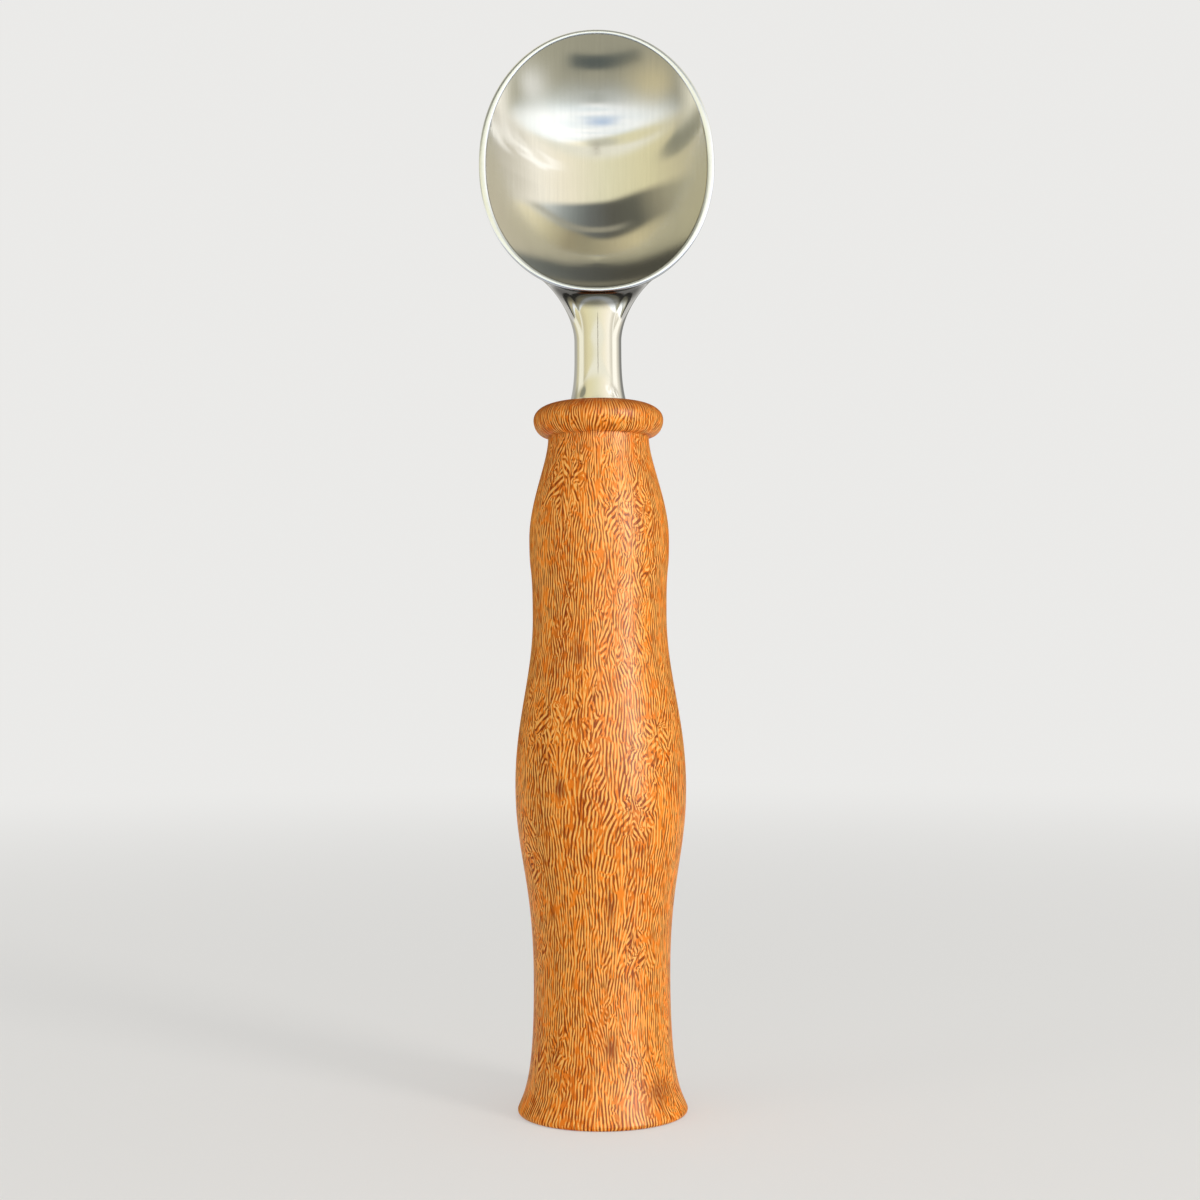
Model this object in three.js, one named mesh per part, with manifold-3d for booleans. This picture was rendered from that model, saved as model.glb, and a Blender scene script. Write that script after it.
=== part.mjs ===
// Ice cream scoop: a one-piece steel bowl and neck, screwed into a turned wooden handle.
// Millimetres, +Z up along the handle, origin at the centre of the base, bowl open towards -Y.
// The head and its stud unscrew from the brass insert in the handle, so that the head can be washed.
import * as THREE from "three";
import { mergeVertices } from "three/addons/utils/BufferGeometryUtils.js";
import Module from "manifold-3d";

const wasm = await Module();
wasm.setup();

// Handle, from the base up: lengths between the narrow and wide places of the turning, and their diameters.
const BASE_TO_WAIST = 29.5;
const WAIST_TO_BELLY = 42.1;
const BELLY_TO_GRIP = 37.2;
const GRIP_TO_SHOULDER = 16.9;
const SHOULDER_TO_GROOVE = 22.5;
const BEAD_LENGTH = 7.6;
const BEAD_ROLL = 3.9;
const BASE_DIAMETER = 37.2;
const BASE_EDGE_RADIUS = 1.2;
const BASE_FLARE = 0.4;
const WAIST_DIAMETER = 30;
const BELLY_DIAMETER = 37.5;
const GRIP_DIAMETER = 29.4;
const SHOULDER_DIAMETER = 30.7;
const GROOVE_DIAMETER = 22.1;
const BEAD_DIAMETER = 28.5;
const BEAD_FLAT_MARGIN = 0.35;
const BEAD_FULLNESS = 0.62;

// How far each wide or narrow place keeps the turning straight along the axis, either way.
const WAIST_STRAIGHT = 22;
const BELLY_STRAIGHT = 15;
const GRIP_STRAIGHT = 13;
const SHOULDER_STRAIGHT = 8.7;
const GROOVE_STRAIGHT = 5.5;
const FLARE_STRAIGHT = 3.5;

// Head: bowl, neck and foot.
const BOWL_WIDTH = 50.8;
const BOWL_WIDEST_TO_TIP = 29.2;
const BOWL_WIDEST_TO_HEEL = 27.2;
const BOWL_DEPTH = 13.5;
const BOWL_ARC = THREE.MathUtils.degToRad(32);
const BOWL_DROP = 2;
const TIP_FULLNESS = 2.06;
const HEEL_FULLNESS = 2.15;
const BACK_WALL = 2;
const RIM_WALL = 1.5;
const RIM_END_WALL = 0.9;
const RIM_ROUND = 0.5;
const RIM_SQUARENESS = 0.6;
const RIM_TO_AXIS = 8.2;
const NECK_WALL = 1.9;
const NECK_STRAIGHT = 1.3;
const FOOT_OVERLAP = 0.9;
const FOOT_EDGE = 0.3;
const FOOT_FLARE_LENGTH = 12;
const FILLET_LENGTH = 9.6;
const FILLET_REACH = 11.5;

// Fillet between neck and bowl: how far it runs on straight at either end, as shares of its span, the most
// of the way to the rim that it takes, and how sharply it turns to that limit.
const FILLET_NECK_PULL = 0.26;
const FILLET_BOWL_PULL = 0.4;
const FILLET_RIM_SHARE = 0.93;
const FILLET_LIMIT_POWER = 4;

// Stud and insert: an M6 stud in a self-tapping brass insert.
const STUD_DIAMETER = 6;
const STUD_PITCH = 1;
const STUD_LENGTH = 28;
const STUD_IN_NECK = 12;
const INSERT_WALL = 1.05;
const INSERT_LENGTH = 15;
const INSERT_PITCH = 1.5;
const INSERT_THREAD_DEPTH = 0.7;
const INSERT_SET_BACK = 0.5;
const SLOT_WIDTH = 1.6;
const SLOT_DEPTH = 2;

// Fits: the radial gap in every bore and the free space at the end of every blind hole.
const FIT_CLEARANCE = 0.25;
const HOLE_END_CLEARANCE = 0.6;
const HOLE_CHAMFER = 0.6;

// A metric thread's depth and its flats at the root and the crest, as shares of the pitch.
const METRIC_DEPTH = 0.6134;
const ROOT_FLAT = 1 / 4;
const CREST_FLAT = 1 / 8;

// Points closer than this are one point, and an arc this small gives a surface's direction.
const MERGE_DISTANCE = 1e-4;
const SMALL_ARC = 0.01;

// Facets: sides around each piece and steps along each curve.
const HANDLE_SIDES = 40;
const HANDLE_STEPS = 5;
const HEAD_SIDES = 56;
const NECK_STEPS = 6;
const FILLET_STEPS = 6;
const BOWL_STEPS = 9;
const RIM_STEPS = 4;
const STUD_SIDES = 12;
const INSERT_SIDES = 20;
const BORE_SIDES = 32;

// Heights, bores and radii that follow from the sizes above.
const grooveHeight = BASE_TO_WAIST + WAIST_TO_BELLY + BELLY_TO_GRIP + GRIP_TO_SHOULDER + SHOULDER_TO_GROOVE;
const handleLength = grooveHeight + BEAD_LENGTH;
const studInHandle = STUD_LENGTH - STUD_IN_NECK;
const studBoreRadius = STUD_DIAMETER / 2 + FIT_CLEARANCE;
const insertRadius = studBoreRadius + INSERT_WALL + INSERT_THREAD_DEPTH;
const insertBoreRadius = insertRadius + FIT_CLEARANCE;
const footRadius = insertBoreRadius + FOOT_OVERLAP;
const neckRadius = studBoreRadius + NECK_WALL;
const insertBoreDepth = Math.max(INSERT_SET_BACK + INSERT_LENGTH, studInHandle) + HOLE_END_CLEARANCE;

// Turns a closed three.js geometry into a solid that can be cut.
function solidOf(geometry) {
  const bare = geometry.clone();
  bare.deleteAttribute("normal");
  bare.deleteAttribute("uv");
  const merged = mergeVertices(bare, MERGE_DISTANCE);
  const vertProperties = merged.attributes.position.array;
  const triVerts = new Uint32Array(merged.index.array);
  return new wasm.Manifold(new wasm.Mesh({ numProp: 3, vertProperties, triVerts }));
}

// Turns a cut solid back into a three.js geometry.
function geometryOf(solid) {
  const { vertProperties, triVerts } = solid.getMesh();
  const geometry = new THREE.BufferGeometry();
  geometry.setAttribute("position", new THREE.BufferAttribute(vertProperties, 3));
  geometry.setIndex(new THREE.BufferAttribute(triVerts, 1));
  geometry.computeVertexNormals();
  return geometry;
}

// A closed surface from points and triangles: merges points that coincide and drops triangles without area.
function closedGeometry(points, triangles) {
  const loose = new THREE.BufferGeometry().setFromPoints(points);
  loose.setIndex(triangles.flat());
  const geometry = mergeVertices(loose, MERGE_DISTANCE);
  const index = geometry.index.array;
  const kept = [];
  for (let i = 0; i < index.length; i += 3) {
    const [a, b, c] = [index[i], index[i + 1], index[i + 2]];
    if (a !== b && b !== c && c !== a) kept.push(a, b, c);
  }
  geometry.setIndex(kept);
  geometry.computeVertexNormals();
  return geometry;
}

// Closed surface through rings of equally many points, from a first pole to a last pole.
function ringSurface(firstPole, rings, lastPole) {
  const sides = rings[0].length;
  const points = [firstPole, ...rings.flat(), lastPole];
  const at = (ring, side) => 1 + ring * sides + (side % sides);
  const triangles = [];
  for (let side = 0; side < sides; side++) {
    triangles.push([0, at(0, side + 1), at(0, side)]);
    triangles.push([points.length - 1, at(rings.length - 1, side), at(rings.length - 1, side + 1)]);
    for (let ring = 0; ring + 1 < rings.length; ring++) {
      const [a, b] = [at(ring, side), at(ring, side + 1)];
      const [c, d] = [at(ring + 1, side), at(ring + 1, side + 1)];
      triangles.push([a, b, d], [a, d, c]);
    }
  }
  return closedGeometry(points, triangles);
}

// A rod with a right-hand thread, standing on z = 0, with chamfered ends. Each row of points climbs one
// pitch in a turn, so that row's end is the start of the same row of the next turn.
function threadedRod({ length, diameter, depth, pitch, sides }) {
  const core = diameter / 2 - depth;
  const flank = (1 - ROOT_FLAT - CREST_FLAT) / 2;
  const profile = [
    { share: 0, height: 0 },
    { share: ROOT_FLAT, height: 0 },
    { share: ROOT_FLAT + flank, height: depth },
    { share: 1 - flank, height: depth },
  ];
  const turns = Math.ceil(length / pitch) + 1;
  const rows = turns * profile.length + 1;
  const points = [];
  for (let row = 0; row < rows; row++) {
    const { share, height } = profile[row % profile.length];
    const turn = Math.floor(row / profile.length) - 1;
    for (let side = 0; side < sides; side++) {
      const free = pitch * (turn + share + side / sides);
      const z = THREE.MathUtils.clamp(free, 0, length);
      const radius = core + Math.min(height, z, length - z);
      const angle = (2 * Math.PI * side) / sides;
      points.push(new THREE.Vector3(radius * Math.cos(angle), radius * Math.sin(angle), z));
    }
  }
  const at = (row, side) => {
    const wrapped = side === sides ? row + profile.length : row;
    return Math.min(wrapped, rows - 1) * sides + (side % sides);
  };
  const bottom = points.push(new THREE.Vector3(0, 0, 0)) - 1;
  const top = points.push(new THREE.Vector3(0, 0, length)) - 1;
  const triangles = [];
  for (let side = 0; side < sides; side++) {
    triangles.push([bottom, at(0, side + 1), at(0, side)]);
    triangles.push([top, at(rows - 1, side), at(rows - 1, side + 1)]);
    for (let row = 0; row + 1 < rows; row++) {
      const [a, b] = [at(row, side), at(row, side + 1)];
      const [c, d] = [at(row + 1, side), at(row + 1, side + 1)];
      triangles.push([a, b, d], [a, d, c]);
    }
  }
  return closedGeometry(points, triangles);
}

// Half outline of the turning, in radius and height: smooth curves that run straight along the axis at each
// wide and narrow place, a round bead on top, and the blind hole for the insert.
function handleOutline() {
  const places = [
    { length: BASE_TO_WAIST, radius: WAIST_DIAMETER / 2, straight: WAIST_STRAIGHT },
    { length: WAIST_TO_BELLY, radius: BELLY_DIAMETER / 2, straight: BELLY_STRAIGHT },
    { length: BELLY_TO_GRIP, radius: GRIP_DIAMETER / 2, straight: GRIP_STRAIGHT },
    { length: GRIP_TO_SHOULDER, radius: SHOULDER_DIAMETER / 2, straight: SHOULDER_STRAIGHT },
    { length: SHOULDER_TO_GROOVE, radius: GROOVE_DIAMETER / 2, straight: GROOVE_STRAIGHT },
  ];
  const baseRadius = BASE_DIAMETER / 2;
  const path = new THREE.Path();
  path.moveTo(0, 0);
  path.lineTo(baseRadius - BASE_EDGE_RADIUS, 0);
  path.quadraticCurveTo(baseRadius + BASE_FLARE * BASE_EDGE_RADIUS / 2, 0, baseRadius, BASE_EDGE_RADIUS);
  let lastRadius = baseRadius - BASE_FLARE * FLARE_STRAIGHT;
  let lastReach = BASE_EDGE_RADIUS + FLARE_STRAIGHT;
  let height = 0;
  for (const { length, radius, straight } of places) {
    height += length;
    path.bezierCurveTo(lastRadius, lastReach, radius, height - straight, radius, height);
    lastRadius = radius;
    lastReach = height + straight;
  }
  const beadRadius = BEAD_DIAMETER / 2;
  const flatRadius = footRadius + BEAD_FLAT_MARGIN;
  const beadHeight = handleLength - BEAD_ROLL;
  const beadRise = beadHeight - height;
  path.ellipse(0, beadRise, beadRadius - GROOVE_DIAMETER / 2, beadRise, -Math.PI / 2, 0, false);
  path.bezierCurveTo(
    beadRadius,
    beadHeight + BEAD_FULLNESS * BEAD_ROLL,
    flatRadius + BEAD_FULLNESS * (beadRadius - flatRadius),
    handleLength,
    flatRadius,
    handleLength,
  );
  path.lineTo(insertBoreRadius + HOLE_CHAMFER, handleLength);
  path.lineTo(insertBoreRadius, handleLength - HOLE_CHAMFER);
  path.lineTo(insertBoreRadius, handleLength - insertBoreDepth);
  path.lineTo(0, handleLength - insertBoreDepth);
  return path.getPoints(HANDLE_STEPS);
}

function makeHandle() {
  const geometry = new THREE.LatheGeometry(handleOutline(), HANDLE_SIDES);
  geometry.rotateX(Math.PI / 2);
  return geometryOf(solidOf(geometry));
}

// Brass insert: a coarse thread outside, a bore for the stud, and a screwdriver slot across the top.
function makeInsert() {
  const rod = threadedRod({
    length: INSERT_LENGTH,
    diameter: 2 * insertRadius,
    depth: INSERT_THREAD_DEPTH,
    pitch: INSERT_PITCH,
    sides: INSERT_SIDES,
  });
  const bore = new THREE.CylinderGeometry(studBoreRadius, studBoreRadius, 2 * INSERT_LENGTH, BORE_SIDES);
  bore.rotateX(Math.PI / 2);
  bore.translate(0, 0, INSERT_LENGTH / 2);
  const slot = new THREE.BoxGeometry(4 * insertRadius, SLOT_WIDTH, 2 * SLOT_DEPTH);
  slot.translate(0, 0, INSERT_LENGTH);
  return geometryOf(solidOf(rod).subtract(solidOf(bore)).subtract(solidOf(slot)));
}

function makeStud() {
  return threadedRod({
    length: STUD_LENGTH,
    diameter: STUD_DIAMETER,
    depth: METRIC_DEPTH * STUD_PITCH,
    pitch: STUD_PITCH,
    sides: STUD_SIDES,
  });
}

// The head is one closed surface of rings: up the stud hole, across the foot, up the neck, over the fillet
// and the back of the bowl to the rim, and down the inside of the bowl. Its foot stands on z = 0 on the
// handle's axis.
function makeHead() {
  const rimPlane = RIM_ROUND - RIM_TO_AXIS;
  const filletStart = FOOT_FLARE_LENGTH + NECK_STRAIGHT;
  const bowlCentre = filletStart + FILLET_LENGTH + BOWL_WIDEST_TO_HEEL;
  const outer = {
    width: BOWL_WIDTH / 2,
    depth: BOWL_DEPTH + BACK_WALL - RIM_ROUND,
    tip: BOWL_WIDEST_TO_TIP,
    heel: BOWL_WIDEST_TO_HEEL,
  };
  const inner = {
    width: outer.width - RIM_WALL,
    depth: BOWL_DEPTH - RIM_ROUND,
    tip: outer.tip - RIM_END_WALL,
    heel: outer.heel - RIM_END_WALL,
  };

  // Pushes a unit direction out to a ball that is a little square: its power runs from the heel's fullness
  // to the tip's.
  const swell = (direction) => {
    const power = THREE.MathUtils.lerp(HEEL_FULLNESS, TIP_FULLNESS, (1 + direction.z) / 2);
    const sum = direction.toArray().reduce((total, value) => total + Math.abs(value) ** power, 0);
    return direction.clone().multiplyScalar(sum ** (-1 / power));
  };

  // Stretches a point of that ball to a bowl, with one half length towards the tip and another towards the
  // heel.
  const stretch = (half, unit) => {
    const along = unit.z > 0 ? half.tip : half.heel;
    return new THREE.Vector3(half.width * unit.x, rimPlane + half.depth * unit.y, bowlCentre + along * unit.z);
  };

  // The back of the bowl is half of an ellipsoid. It is swept in arcs that start where the neck's axis
  // enters it and end at the rim.
  const entryDepth = -rimPlane / outer.depth;
  const lean = Math.asin(entryDepth);
  const entry = new THREE.Vector3(0, Math.sin(lean), -Math.cos(lean));
  const forward = new THREE.Vector3(0, -Math.cos(lean), -Math.sin(lean));
  const sideways = new THREE.Vector3(1, 0, 0);
  const backPoint = (neckAngle, arc) => {
    const direction = entry.clone().multiplyScalar(Math.cos(arc));
    direction.addScaledVector(forward, Math.sin(arc) * Math.cos(neckAngle));
    direction.addScaledVector(sideways, Math.sin(arc) * Math.sin(neckAngle));
    return stretch(outer, swell(direction));
  };

  // Each column's angle on the neck and the angle where the same column meets the rim, both from the front.
  const squeeze = Math.sqrt(Math.sin(lean));
  const columns = Array.from({ length: HEAD_SIDES }, (_, side) => {
    const turn = (2 * Math.PI * side) / HEAD_SIDES;
    const neckAngle = Math.atan2(Math.sin(turn), squeeze * Math.cos(turn));
    const rimAngle = Math.atan2(squeeze * Math.sin(turn), Math.cos(turn));
    const rimArc = Math.atan2(Math.sin(lean), Math.cos(neckAngle) * Math.cos(lean));
    return { neckAngle, rimAngle, rimArc };
  });
  const ring = (radius, height) =>
    columns.map(
      ({ neckAngle }) => new THREE.Vector3(radius * Math.sin(neckAngle), -radius * Math.cos(neckAngle), height),
    );
  const shares = (steps) => Array.from({ length: steps }, (_, step) => (step + 1) / steps);

  // Stud hole with a drilled cone at its end, and the foot with its edge.
  const holeDepth = STUD_IN_NECK + HOLE_END_CLEARANCE;
  const holeEnd = new THREE.Vector3(0, 0, holeDepth + studBoreRadius / 2);
  const footRings = [
    ring(studBoreRadius, holeDepth),
    ring(studBoreRadius, HOLE_CHAMFER),
    ring(studBoreRadius + HOLE_CHAMFER, 0),
    ring(footRadius - FOOT_EDGE, 0),
    ring(footRadius, FOOT_EDGE),
  ];

  // The neck narrows from the foot in one curve, then runs straight to the fillet.
  const flare = new THREE.CubicBezierCurve(
    new THREE.Vector2(footRadius, FOOT_EDGE),
    new THREE.Vector2(neckRadius, FOOT_FLARE_LENGTH / 3),
    new THREE.Vector2(neckRadius, (2 * FOOT_FLARE_LENGTH) / 3),
    new THREE.Vector2(neckRadius, FOOT_FLARE_LENGTH),
  );
  const neckRings = shares(NECK_STEPS).map((share) => {
    const { x, y } = flare.getPoint(share);
    return ring(x, y);
  });
  neckRings.push(ring(neckRadius, filletStart));

  // The fillet leaves the neck upwards and lands on the back of the bowl, short of the rim where that is
  // near. Its run along the bowl ends above the neck's wall at the latest, so that it never leans into the
  // neck.
  const fullArc = (neckRadius + FILLET_REACH) / outer.width;
  const landings = columns.map(({ neckAngle, rimArc }) => {
    const limits = fullArc ** -FILLET_LIMIT_POWER + (FILLET_RIM_SHARE * rimArc) ** -FILLET_LIMIT_POWER;
    const arc = limits ** (-1 / FILLET_LIMIT_POWER);
    const outward = new THREE.Vector3(Math.sin(neckAngle), -Math.cos(neckAngle), 0);
    const from = outward.clone().multiplyScalar(neckRadius).setZ(filletStart);
    const to = backPoint(neckAngle, arc);
    const along = backPoint(neckAngle, arc + SMALL_ARC).sub(to).normalize();
    const span = from.distanceTo(to);
    const spread = along.dot(outward);
    const toWall = spread > 0 ? to.clone().sub(from).dot(outward) / spread : Infinity;
    const leave = from.clone().add(new THREE.Vector3(0, 0, FILLET_NECK_PULL * span));
    const arrive = to.clone().addScaledVector(along, -Math.min(FILLET_BOWL_PULL * span, toWall));
    return { arc, curve: new THREE.CubicBezierCurve3(from, leave, arrive, to) };
  });
  const filletRings = shares(FILLET_STEPS).map((share) => landings.map(({ curve }) => curve.getPoint(share)));

  const backRings = shares(BOWL_STEPS).map((share) =>
    columns.map(({ neckAngle, rimArc }, side) => {
      const { arc } = landings[side];
      return backPoint(neckAngle, arc + share * (rimArc - arc));
    }),
  );

  // The inside is a cap of a ball, stretched to the rim's outline, with its deepest place lowered towards
  // the heel. A share runs from 0 at the deepest place to 1 at the rim.
  const rimEdge = (rimAngle) => swell(new THREE.Vector3(Math.sin(rimAngle), 0, -Math.cos(rimAngle)));
  const insidePoint = (rimAngle, share) => {
    const turn = share * BOWL_ARC;
    const unit = rimEdge(rimAngle).multiplyScalar(Math.sin(turn) / Math.sin(BOWL_ARC));
    unit.y = (Math.cos(turn) - Math.cos(BOWL_ARC)) / (1 - Math.cos(BOWL_ARC));
    const point = stretch(inner, unit);
    point.z -= BOWL_DROP * unit.y;
    return point;
  };

  // The rim is a flat half round between the edges of the back and the inside.
  const rimRings = shares(RIM_STEPS).map((share) =>
    columns.map(({ rimAngle }) => {
      const turn = Math.PI * share;
      const point = stretch(outer, rimEdge(rimAngle)).lerp(insidePoint(rimAngle, 1), (1 - Math.cos(turn)) / 2);
      point.y -= RIM_ROUND * Math.max(0, Math.sin(turn)) ** RIM_SQUARENESS;
      return point;
    }),
  );
  const insideRings = shares(BOWL_STEPS)
    .slice(0, -1)
    .map((share) => columns.map(({ rimAngle }) => insidePoint(rimAngle, 1 - share)));
  const bowlBottom = insidePoint(0, 0);

  const rings = [...footRings, ...neckRings, ...filletRings, ...backRings, ...rimRings, ...insideRings];
  return ringSurface(holeEnd, rings, bowlBottom);
}

function part(name, geometry, look, height) {
  const mesh = new THREE.Mesh(geometry, new THREE.MeshStandardMaterial(look));
  mesh.name = name;
  mesh.position.z = height;
  return mesh;
}

const steel = { color: 0xb9bcc0, roughness: 0.22, metalness: 1 };
const brass = { color: 0xb9924a, roughness: 0.35, metalness: 1 };
const lacqueredWood = { color: 0xb36a24, roughness: 0.4, metalness: 0 };

const handleGroup = new THREE.Group();
handleGroup.add(part("handle", makeHandle(), lacqueredWood, 0));
handleGroup.add(part("threaded_insert", makeInsert(), brass, handleLength - INSERT_SET_BACK - INSERT_LENGTH));

const headGroup = new THREE.Group();
headGroup.position.z = handleLength;
headGroup.add(part("scoop_head", makeHead(), steel, 0));
headGroup.add(part("threaded_stud", makeStud(), { ...steel, roughness: 0.4 }, -studInHandle));

const scoop = new THREE.Group();
scoop.add(handleGroup, headGroup);

export default scoop;
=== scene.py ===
"""Dresses the ice cream scoop: a satin steel bowl on a polished neck, in a turned handle of figured wood.

Sizes are in metres in the frame of the solids: +Z runs up the handle to the bowl's tip, and the bowl opens
to -Y.
"""

import math

import bpy
import numpy as np
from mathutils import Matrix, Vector


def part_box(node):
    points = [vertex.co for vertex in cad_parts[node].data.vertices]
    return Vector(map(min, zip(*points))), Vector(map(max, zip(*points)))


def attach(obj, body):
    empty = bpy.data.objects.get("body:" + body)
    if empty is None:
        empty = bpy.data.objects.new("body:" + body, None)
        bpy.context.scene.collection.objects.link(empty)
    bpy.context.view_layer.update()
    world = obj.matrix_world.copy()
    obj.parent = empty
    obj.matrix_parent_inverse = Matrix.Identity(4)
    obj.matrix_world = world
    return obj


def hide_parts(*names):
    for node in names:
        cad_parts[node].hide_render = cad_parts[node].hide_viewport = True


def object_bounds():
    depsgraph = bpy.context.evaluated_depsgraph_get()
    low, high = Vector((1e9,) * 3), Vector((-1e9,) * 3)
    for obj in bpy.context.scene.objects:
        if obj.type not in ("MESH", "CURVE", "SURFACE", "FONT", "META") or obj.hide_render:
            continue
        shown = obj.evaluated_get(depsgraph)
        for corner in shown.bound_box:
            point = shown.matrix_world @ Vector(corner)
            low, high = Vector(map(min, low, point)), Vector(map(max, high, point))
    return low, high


bl_info = {
    "name": "Ice cream scoop",
    "version": (1, 0, 0),
    "blender": (4, 5, 0),
    "location": "View3D > Sidebar > Scoop",
    "description": "Builds an ice cream scoop with a steel head that unscrews from a turned wooden handle",
    "category": "Add Mesh",
}

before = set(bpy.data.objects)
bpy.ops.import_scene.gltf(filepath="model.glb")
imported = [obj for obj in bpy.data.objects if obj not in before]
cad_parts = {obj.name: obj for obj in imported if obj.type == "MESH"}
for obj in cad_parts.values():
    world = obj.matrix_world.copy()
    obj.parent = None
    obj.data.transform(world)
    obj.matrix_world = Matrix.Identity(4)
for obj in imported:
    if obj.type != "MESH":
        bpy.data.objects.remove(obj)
solid_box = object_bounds()

MILLIMETRE = 0.001

# Mesh steps: round the axis, and along each part of a shape.
HANDLE_SIDES = 192
HANDLE_STEPS = 34
HEAD_SIDES = 256
NECK_STEPS = 44
FILLET_STEPS = 40
BACK_STEPS = 60
RIM_STEPS = 16
INSIDE_STEPS = 84
EDGE_STEPS = 6
SCREW_SIDES = 72
STEPS_PER_PITCH = 14

# Edges sharper than this stay crisp.
CRISP_ANGLE = math.radians(38)

# Width of the camera's frame in millimetres.
FRAME_WIDTH = 36.0

# Step along an arc that shows its direction, in radians.
SMALL_ARC = 0.01

# A thread's profile as shares of its pitch: half of the flat crest, and the run of a flank.
HALF_CREST = 0.0625
FLANK_RUN = 0.3125


def length(name, description, millimetres):
    """A length that a user can change, with its default in millimetres."""
    metres = millimetres * MILLIMETRE
    return bpy.props.FloatProperty(
        name=name, description=description, default=metres, min=0.0, precision=5, unit="LENGTH"
    )


def share(name, description, default):
    """A plain number that a user can change."""
    return bpy.props.FloatProperty(name=name, description=description, default=default, min=0.0)


def angle(name, description, degrees):
    """An angle that a user can change, with its default in degrees."""
    turn = math.radians(degrees)
    return bpy.props.FloatProperty(name=name, description=description, default=turn, unit="ROTATION")


def colour(name, description, red, green, blue):
    """A colour that a user can change, in linear light."""
    tone = (red, green, blue, 1.0)
    return bpy.props.FloatVectorProperty(
        name=name, description=description, default=tone, size=4, min=0.0, max=1.0, subtype="COLOR"
    )


class HandleSizes(bpy.types.PropertyGroup):
    """Sizes of the turned handle, from the base up, and the colours of its wood."""

    base_to_waist: length("Base to waist", "From the flat base up to the narrow waist", 29.5)
    waist_to_belly: length("Waist to belly", "From the waist up to the widest place", 42.1)
    belly_to_grip: length("Belly to grip", "From the widest place up to the slim grip", 37.2)
    grip_to_shoulder: length("Grip to shoulder", "From the grip up to the shoulder", 16.9)
    shoulder_to_groove: length("Shoulder to groove", "From the shoulder up to the groove", 22.5)
    bead_length: length("Bead length", "From the groove to the top of the handle", 7.6)
    bead_roll: length("Bead roll", "Height of the rounded top of the bead", 3.9)
    base_diameter: length("Base diameter", "Width of the flared base", 37.2)
    base_edge: length("Base edge", "Height of the rounded edge under the base", 1.2)
    waist_diameter: length("Waist diameter", "Width at the waist", 30.0)
    belly_diameter: length("Belly diameter", "Width at the widest place", 37.5)
    grip_diameter: length("Grip diameter", "Width at the grip", 29.4)
    shoulder_diameter: length("Shoulder diameter", "Width at the shoulder", 30.7)
    groove_diameter: length("Groove diameter", "Width at the groove", 22.1)
    bead_diameter: length("Bead diameter", "Width of the bead", 28.5)
    bead_flat: length("Bead flat", "Width of the flat that the neck stands on", 13.0)
    flare_straight: length("Flare straight", "How far the base's flare runs on before it bends", 3.5)
    waist_straight: length("Waist straight", "How far the waist runs on along the axis", 22.0)
    belly_straight: length("Belly straight", "How far the belly runs on along the axis", 15.0)
    grip_straight: length("Grip straight", "How far the grip runs on along the axis", 13.0)
    shoulder_straight: length("Shoulder straight", "How far the shoulder runs on along the axis", 8.7)
    groove_straight: length("Groove straight", "How far the groove runs on along the axis", 5.5)
    hole_diameter: length("Hole diameter", "Bore for the insert", 10.5)
    hole_depth: length("Hole depth", "Depth of the bore for the insert", 16.6)
    hole_chamfer: length("Hole chamfer", "Width of the chamfer at the mouth of the bore", 0.6)
    base_flare: share("Base flare", "Widening of the base for each unit of height", 0.4)
    bead_fullness: share("Bead fullness", "How square the bead's rounded top is", 0.62)
    dark_vein: colour("Dark vein", "Brown dashes in the wood", 0.25, 0.036, 0.002)
    heart: colour("Heart", "Ground colour of the wood", 0.82, 0.205, 0.011)
    amber: colour("Amber", "Ground colour where the wood is paler", 0.95, 0.268, 0.018)
    pale_vein: colour("Pale vein", "Light lines in the wood", 1.0, 0.56, 0.145)


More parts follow.
